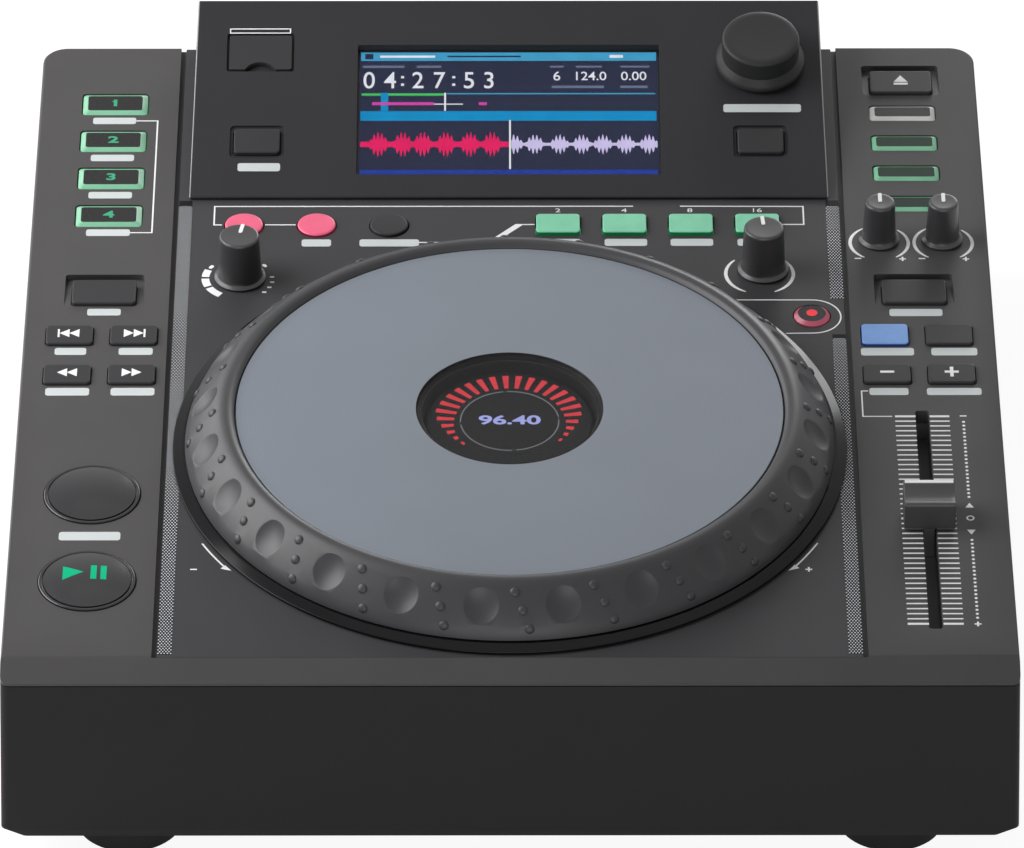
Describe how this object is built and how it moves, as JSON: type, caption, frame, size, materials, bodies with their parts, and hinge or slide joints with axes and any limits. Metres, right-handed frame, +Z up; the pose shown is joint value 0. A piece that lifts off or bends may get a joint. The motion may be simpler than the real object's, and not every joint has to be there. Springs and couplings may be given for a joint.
{
  "type": "tabletop disc jockey player",
  "caption": "Tabletop disc jockey player: large dimpled jog wheel, tilted display hood, rows of lit keys, rotary knobs and a long pitch fader on a sloping deck.",
  "frame": {"origin": "centre of the bounding box, at the underside of the feet", "axes": "+Z up, the front of the player faces -Y, +X is to the right of someone using it"},
  "size_m": [0.3086, 0.3412, 0.113],
  "materials": {
    "case_plastic": "satin",
    "deck_plastic": "satin",
    "plate_finish": "satin",
    "hood_plastic": "satin",
    "clear_window": "gloss",
    "screen_module": "gloss",
    "bright_metal": "satin",
    "circuit_board": "satin",
    "gloss_black": "gloss",
    "ring_rubber": "satin",
    "platter_satin": "satin",
    "key_plastic": "satin",
    "green_lit_key": "satin",
    "pink_lit_key": "satin",
    "blue_lit_key": "satin",
    "knob_plastic": "matte",
    "foot_rubber": "matte"
  },
  "bodies": {
    "case": {"base_shell": "case_plastic", "centre_plate": "plate_finish", "control_board": "circuit_board", "display_hood": "hood_plastic", "fader_track": "bright_metal", "foot_front_left": "foot_rubber", "foot_front_right": "foot_rubber", "foot_rear_left": "foot_rubber", "foot_rear_right": "foot_rubber", "hood_board": "circuit_board", "jog_bearing": "bright_metal", "jog_display": "screen_module", "jog_surround": "gloss_black", "rear_connectors": "key_plastic", "screen_module": "screen_module", "screen_window": "clear_window", "top_case": "deck_plastic"},
    "jog_wheel": {"jog_platter": "platter_satin", "jog_ring": "ring_rubber", "jog_window": "clear_window"},
    "auto_loop_key_16": {"auto_loop_key_16": "green_lit_key"},
    "auto_loop_key_2": {"auto_loop_key_2": "green_lit_key"},
    "auto_loop_key_4": {"auto_loop_key_4": "green_lit_key"},
    "auto_loop_key_8": {"auto_loop_key_8": "green_lit_key"},
    "back_key": {"back_key": "key_plastic"},
    "bend_minus_key": {"bend_minus_key": "key_plastic"},
    "bend_plus_key": {"bend_plus_key": "key_plastic"},
    "cue_key": {"cue_key": "gloss_black"},
    "eject_key": {"eject_key": "key_plastic"},
    "hot_cue_key_1": {"hot_cue_key_1": "green_lit_key"},
    "hot_cue_key_2": {"hot_cue_key_2": "green_lit_key"},
    "hot_cue_key_3": {"hot_cue_key_3": "green_lit_key"},
    "hot_cue_key_4": {"hot_cue_key_4": "green_lit_key"},
    "jog_mode_key": {"jog_mode_key": "key_plastic"},
    "key_lock_key": {"key_lock_key": "blue_lit_key"},
    "loop_in_key": {"loop_in_key": "pink_lit_key"},
    "loop_out_key": {"loop_out_key": "pink_lit_key"},
    "play_key": {"play_key": "gloss_black"},
    "reloop_key": {"reloop_key": "key_plastic"},
    "reverse_key": {"reverse_key": "key_plastic"},
    "search_back_key": {"search_back_key": "key_plastic"},
    "search_forward_key": {"search_forward_key": "key_plastic"},
    "settings_key": {"settings_key": "key_plastic"},
    "shift_key": {"shift_key": "key_plastic"},
    "slip_key": {"slip_key": "pink_lit_key"},
    "source_key_1": {"source_key_1": "green_lit_key"},
    "source_key_2": {"source_key_2": "green_lit_key"},
    "source_key_3": {"source_key_3": "green_lit_key"},
    "tap_key": {"tap_key": "key_plastic"},
    "track_back_key": {"track_back_key": "key_plastic"},
    "track_forward_key": {"track_forward_key": "key_plastic"},
    "browse_shaft": {"browse_shaft": "bright_metal"},
    "browse_knob": {"browse_knob": "knob_plastic"},
    "jog_weight_knob": {"jog_weight_knob": "knob_plastic"},
    "filter_knob": {"filter_knob": "knob_plastic"},
    "start_time_knob": {"start_time_knob": "knob_plastic"},
    "stop_time_knob": {"stop_time_knob": "knob_plastic"},
    "fader_cap": {"fader_cap": "knob_plastic"},
    "stick_flap": {"stick_flap": "key_plastic"},
    "power_switch": {"power_switch": "key_plastic"}
  },
  "joints": [
    {"name": "jog_wheel_turn", "type": "hinge", "parent": "case", "child": "jog_wheel", "pos_m": [0, -0.05726, 0.07474], "axis": [0, 0.061, -0.9981], "continuous": true},
    {"name": "auto_loop_key_16_press", "type": "slide", "parent": "case", "child": "auto_loop_key_16", "axis": [0, 0.061, -0.9981], "range_m": [0, 0.001], "stiffness_N_per_m": 250, "springref_m": -0.0005},
    {"name": "auto_loop_key_2_press", "type": "slide", "parent": "case", "child": "auto_loop_key_2", "axis": [0, 0.061, -0.9981], "range_m": [0, 0.001], "stiffness_N_per_m": 250, "springref_m": -0.0005},
    {"name": "auto_loop_key_4_press", "type": "slide", "parent": "case", "child": "auto_loop_key_4", "axis": [0, 0.061, -0.9981], "range_m": [0, 0.001], "stiffness_N_per_m": 250, "springref_m": -0.0005},
    {"name": "auto_loop_key_8_press", "type": "slide", "parent": "case", "child": "auto_loop_key_8", "axis": [0, 0.061, -0.9981], "range_m": [0, 0.001], "stiffness_N_per_m": 250, "springref_m": -0.0005},
    {"name": "back_key_press", "type": "slide", "parent": "case", "child": "back_key", "axis": [0, 0.2504, -0.9681], "range_m": [0, 0.001], "stiffness_N_per_m": 250, "springref_m": -0.0005},
    {"name": "bend_minus_key_press", "type": "slide", "parent": "case", "child": "bend_minus_key", "axis": [0, 0.061, -0.9981], "range_m": [0, 0.001], "stiffness_N_per_m": 250, "springref_m": -0.0005},
    {"name": "bend_plus_key_press", "type": "slide", "parent": "case", "child": "bend_plus_key", "axis": [0, 0.061, -0.9981], "range_m": [0, 0.001], "stiffness_N_per_m": 250, "springref_m": -0.0005},
    {"name": "cue_key_press", "type": "slide", "parent": "case", "child": "cue_key", "axis": [0, 0.061, -0.9981], "range_m": [0, 0.001], "stiffness_N_per_m": 400, "springref_m": -0.0005},
    {"name": "eject_key_press", "type": "slide", "parent": "case", "child": "eject_key", "axis": [0, 0.061, -0.9981], "range_m": [0, 0.001], "stiffness_N_per_m": 250, "springref_m": -0.0005},
    {"name": "hot_cue_key_1_press", "type": "slide", "parent": "case", "child": "hot_cue_key_1", "axis": [0, 0.061, -0.9981], "range_m": [0, 0.001], "stiffness_N_per_m": 250, "springref_m": -0.0005},
    {"name": "hot_cue_key_2_press", "type": "slide", "parent": "case", "child": "hot_cue_key_2", "axis": [0, 0.061, -0.9981], "range_m": [0, 0.001], "stiffness_N_per_m": 250, "springref_m": -0.0005},
    {"name": "hot_cue_key_3_press", "type": "slide", "parent": "case", "child": "hot_cue_key_3", "axis": [0, 0.061, -0.9981], "range_m": [0, 0.001], "stiffness_N_per_m": 250, "springref_m": -0.0005},
    {"name": "hot_cue_key_4_press", "type": "slide", "parent": "case", "child": "hot_cue_key_4", "axis": [0, 0.061, -0.9981], "range_m": [0, 0.001], "stiffness_N_per_m": 250, "springref_m": -0.0005},
    {"name": "jog_mode_key_press", "type": "slide", "parent": "case", "child": "jog_mode_key", "axis": [0, 0.061, -0.9981], "range_m": [0, 0.001], "stiffness_N_per_m": 250, "springref_m": -0.0005},
    {"name": "key_lock_key_press", "type": "slide", "parent": "case", "child": "key_lock_key", "axis": [0, 0.061, -0.9981], "range_m": [0, 0.001], "stiffness_N_per_m": 250, "springref_m": -0.0005},
    {"name": "loop_in_key_press", "type": "slide", "parent": "case", "child": "loop_in_key", "axis": [0, 0.061, -0.9981], "range_m": [0, 0.001], "stiffness_N_per_m": 250, "springref_m": -0.0005},
    {"name": "loop_out_key_press", "type": "slide", "parent": "case", "child": "loop_out_key", "axis": [0, 0.061, -0.9981], "range_m": [0, 0.001], "stiffness_N_per_m": 250, "springref_m": -0.0005},
    {"name": "play_key_press", "type": "slide", "parent": "case", "child": "play_key", "axis": [0, 0.061, -0.9981], "range_m": [0, 0.001], "stiffness_N_per_m": 400, "springref_m": -0.0005},
    {"name": "reloop_key_press", "type": "slide", "parent": "case", "child": "reloop_key", "axis": [0, 0.061, -0.9981], "range_m": [0, 0.001], "stiffness_N_per_m": 250, "springref_m": -0.0005},
    {"name": "reverse_key_press", "type": "slide", "parent": "case", "child": "reverse_key", "axis": [0, 0.061, -0.9981], "range_m": [0, 0.001], "stiffness_N_per_m": 250, "springref_m": -0.0005},
    {"name": "search_back_key_press", "type": "slide", "parent": "case", "child": "search_back_key", "axis": [0, 0.061, -0.9981], "range_m": [0, 0.001], "stiffness_N_per_m": 250, "springref_m": -0.0005},
    {"name": "search_forward_key_press", "type": "slide", "parent": "case", "child": "search_forward_key", "axis": [0, 0.061, -0.9981], "range_m": [0, 0.001], "stiffness_N_per_m": 250, "springref_m": -0.0005},
    {"name": "settings_key_press", "type": "slide", "parent": "case", "child": "settings_key", "axis": [0, 0.061, -0.9981], "range_m": [0, 0.001], "stiffness_N_per_m": 250, "springref_m": -0.0005},
    {"name": "shift_key_press", "type": "slide", "parent": "case", "child": "shift_key", "axis": [0, 0.2504, -0.9681], "range_m": [0, 0.001], "stiffness_N_per_m": 250, "springref_m": -0.0005},
    {"name": "slip_key_press", "type": "slide", "parent": "case", "child": "slip_key", "axis": [0, 0.061, -0.9981], "range_m": [0, 0.001], "stiffness_N_per_m": 250, "springref_m": -0.0005},
    {"name": "source_key_1_press", "type": "slide", "parent": "case", "child": "source_key_1", "axis": [0, 0.061, -0.9981], "range_m": [0, 0.001], "stiffness_N_per_m": 250, "springref_m": -0.0005},
    {"name": "source_key_2_press", "type": "slide", "parent": "case", "child": "source_key_2", "axis": [0, 0.061, -0.9981], "range_m": [0, 0.001], "stiffness_N_per_m": 250, "springref_m": -0.0005},
    {"name": "source_key_3_press", "type": "slide", "parent": "case", "child": "source_key_3", "axis": [0, 0.061, -0.9981], "range_m": [0, 0.001], "stiffness_N_per_m": 250, "springref_m": -0.0005},
    {"name": "tap_key_press", "type": "slide", "parent": "case", "child": "tap_key", "axis": [0, 0.061, -0.9981], "range_m": [0, 0.001], "stiffness_N_per_m": 250, "springref_m": -0.0005},
    {"name": "track_back_key_press", "type": "slide", "parent": "case", "child": "track_back_key", "axis": [0, 0.061, -0.9981], "range_m": [0, 0.001], "stiffness_N_per_m": 250, "springref_m": -0.0005},
    {"name": "track_forward_key_press", "type": "slide", "parent": "case", "child": "track_forward_key", "axis": [0, 0.061, -0.9981], "range_m": [0, 0.001], "stiffness_N_per_m": 250, "springref_m": -0.0005},
    {"name": "browse_shaft_press", "type": "slide", "parent": "case", "child": "browse_shaft", "axis": [0, 0.2504, -0.9681], "range_m": [0, 0.0008], "stiffness_N_per_m": 400, "springref_m": -0.0004},
    {"name": "browse_knob_turn", "type": "hinge", "parent": "browse_shaft", "child": "browse_knob", "pos_m": [0.082, 0.13334, 0.09851], "axis": [0, 0.2504, -0.9681], "continuous": true},
    {"name": "jog_weight_knob_turn", "type": "hinge", "parent": "case", "child": "jog_weight_knob", "pos_m": [-0.08551, 0.03241, 0.07962], "axis": [0, 0.061, -0.9981], "range_deg": [-150, 150]},
    {"name": "filter_knob_turn", "type": "hinge", "parent": "case", "child": "filter_knob", "pos_m": [0.08086, 0.03662, 0.07988], "axis": [0, 0.061, -0.9981], "range_deg": [-150, 150]},
    {"name": "start_time_knob_turn", "type": "hinge", "parent": "case", "child": "start_time_knob", "pos_m": [0.11826, 0.05206, 0.08143], "axis": [0, 0.061, -0.9981], "range_deg": [-150, 150]},
    {"name": "stop_time_knob_turn", "type": "hinge", "parent": "case", "child": "stop_time_knob", "pos_m": [0.13846, 0.05206, 0.08143], "axis": [0, 0.061, -0.9981], "range_deg": [-150, 150]},
    {"name": "fader_cap_slide", "type": "slide", "parent": "case", "child": "fader_cap", "axis": [0, -0.9981, -0.061], "range_m": [-0.05, 0.05]},
    {"name": "stick_flap_hinge", "type": "hinge", "parent": "case", "child": "stick_flap", "pos_m": [-0.081, 0.14591, 0.10103], "axis": [-1, 0, 0], "range_deg": [0, 100]},
    {"name": "power_switch_rock", "type": "hinge", "parent": "case", "child": "power_switch", "pos_m": [-0.076, 0.1606, 0.04], "axis": [1, 0, 0], "range_deg": [0, 16]}
  ]
}
